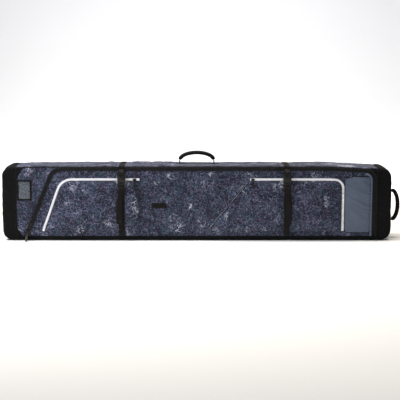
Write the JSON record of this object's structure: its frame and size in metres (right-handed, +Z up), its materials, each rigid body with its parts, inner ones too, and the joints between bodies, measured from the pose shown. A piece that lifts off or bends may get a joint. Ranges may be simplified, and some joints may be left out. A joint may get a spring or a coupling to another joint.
{
  "type": "snowboard bag",
  "caption": "Long padded box bag for a snowboard, with a zipped lid, outer pockets, buckled compression straps, a carry handle, a tow handle and wheels at one end.",
  "frame": {"origin": "middle of the resting face on the ground, with the bag standing on its long narrow side", "axes": "+X along the bag towards the end with the tow handle, -Y out of the lid, +Z up to the carry handle"},
  "size_m": [1.7, 0.2417, 0.37],
  "materials": {
    "printed_cloth": "woven polyester with a dark mottled print",
    "black_cloth": "coarse ballistic weave",
    "coated_cloth": "smooth coated scuff cloth",
    "webbing": "ribbed nylon webbing",
    "main_zip": "coil zip under a storm flap",
    "pocket_zip": "reverse coil zip on white tape",
    "moulding": "fine spark texture",
    "hub": "satin",
    "tyre": "soft tread",
    "axle": "plated",
    "padding": "closed cell foam under lining cloth",
    "stiffener": "sheet board",
    "card": "blank card",
    "film": "clear window"
  },
  "bodies": {
    "shell": {"wheel_end_corner": "printed_cloth", "back_panel": "printed_cloth", "top_gusset": "printed_cloth", "bottom_gusset": "black_cloth", "wheel_end_cap": "black_cloth", "handle_end_cap": "black_cloth", "main_zip_body_tape": "main_zip", "back_foam": "padding", "back_stiffener": "stiffener", "board_tie_1": "webbing", "board_tie_2": "webbing", "label_frame": "black_cloth", "label_card": "card", "label_film": "film", "left_strap_top": "webbing", "right_strap_top": "webbing", "carry_handle_anchor_a": "webbing", "carry_handle_anchor_b": "webbing", "tow_handle_anchor_a": "webbing", "tow_handle_anchor_b": "webbing", "lower_wheel_housing": "moulding", "lower_wheel_axle": "axle", "upper_wheel_housing": "moulding", "upper_wheel_axle": "axle"},
    "lid": {"lid_panel": "printed_cloth", "main_zip_lid_tape": "main_zip", "lid_foam": "padding", "left_pocket": "printed_cloth", "left_pocket_zip": "pocket_zip", "right_pocket": "printed_cloth", "right_pocket_zip": "pocket_zip", "scuff_panel": "coated_cloth", "lash_tab": "webbing", "left_strap_front": "webbing", "left_buckle_socket": "moulding", "right_strap_front": "webbing", "right_buckle_socket": "moulding"},
    "left_plug": {"left_buckle_plug": "moulding", "left_strap_tail": "webbing"},
    "right_plug": {"right_buckle_plug": "moulding", "right_strap_tail": "webbing"},
    "lower_slider": {"lower_main_slider": "moulding"},
    "lower_pull": {"lower_main_pull": "moulding"},
    "upper_slider": {"upper_main_slider": "moulding"},
    "upper_pull": {"upper_main_pull": "moulding"},
    "left_pocket_slide": {"left_pocket_slider": "moulding"},
    "left_pocket_tab": {"left_pocket_pull": "moulding"},
    "right_pocket_slide": {"right_pocket_slider": "moulding"},
    "right_pocket_tab": {"right_pocket_pull": "moulding"},
    "carry_handle": {"carry_handle_web": "webbing", "carry_handle_grip": "webbing"},
    "tow_handle": {"tow_handle_web": "webbing", "tow_handle_grip": "webbing"},
    "lower_wheel": {"lower_wheel_tyre": "tyre", "lower_wheel_hub": "hub"},
    "upper_wheel": {"upper_wheel_tyre": "tyre", "upper_wheel_hub": "hub"}
  },
  "joints": [
    {"name": "lid_hinge", "type": "hinge", "parent": "shell", "child": "lid", "pos_m": [0, -0.09, 0.018], "axis": [1, 0, 0], "range_deg": [0, 78]},
    {"name": "left_buckle_release", "type": "slide", "parent": "lid", "child": "left_plug", "axis": [0, 0, -1], "range_m": [0, 0.032]},
    {"name": "right_buckle_release", "type": "slide", "parent": "lid", "child": "right_plug", "axis": [0, 0, -1], "range_m": [0, 0.032]},
    {"name": "lower_main_zip", "type": "slide", "parent": "lid", "child": "lower_slider", "axis": [0.3827, 0, 0.9239], "range_m": [0, 0.11]},
    {"name": "lower_main_pull_swing", "type": "hinge", "parent": "lower_slider", "child": "lower_pull", "pos_m": [-0.72154, -0.0999, 0.02636], "axis": [-1, 0, 0], "range_deg": [0, 85]},
    {"name": "upper_main_zip", "type": "slide", "parent": "lower_slider", "child": "upper_slider", "axis": [0.3827, 0, 0.9239], "range_m": [0, 0.11]},
    {"name": "upper_main_pull_swing", "type": "hinge", "parent": "upper_slider", "child": "upper_pull", "pos_m": [-0.70814, -0.0999, 0.05869], "axis": [-1, 0, 0], "range_deg": [0, 140]},
    {"name": "left_pocket_zip_slide", "type": "slide", "parent": "lid", "child": "left_pocket_slide", "axis": [-1, 0, 0], "range_m": [0, 0.028]},
    {"name": "left_pocket_pull_swing", "type": "hinge", "parent": "left_pocket_slide", "child": "left_pocket_tab", "pos_m": [-0.262, -0.1032, 0.26], "axis": [-1, 0, 0], "range_deg": [0, 140]},
    {"name": "right_pocket_zip_slide", "type": "slide", "parent": "lid", "child": "right_pocket_slide", "axis": [1, 0, 0], "range_m": [0, 0.115]},
    {"name": "right_pocket_pull_swing", "type": "hinge", "parent": "right_pocket_slide", "child": "right_pocket_tab", "pos_m": [0.236, -0.1032, 0.26], "axis": [-1, 0, 0], "range_deg": [0, 140]},
    {"name": "carry_handle_flop", "type": "hinge", "parent": "shell", "child": "carry_handle", "pos_m": [0, 0.025, 0.327], "axis": [1, 0, 0], "range_deg": [-65, 65]},
    {"name": "tow_handle_flop", "type": "hinge", "parent": "shell", "child": "tow_handle", "pos_m": [0.837, 0, 0.14], "axis": [0, 0, 1], "range_deg": [-50, 50]},
    {"name": "lower_wheel_spin", "type": "hinge", "parent": "shell", "child": "lower_wheel", "pos_m": [-0.776, 0.076, 0.046], "axis": [0, 0, 1], "continuous": true},
    {"name": "upper_wheel_spin", "type": "hinge", "parent": "shell", "child": "upper_wheel", "pos_m": [-0.776, 0.076, 0.269], "axis": [0, 0, 1], "continuous": true}
  ]
}
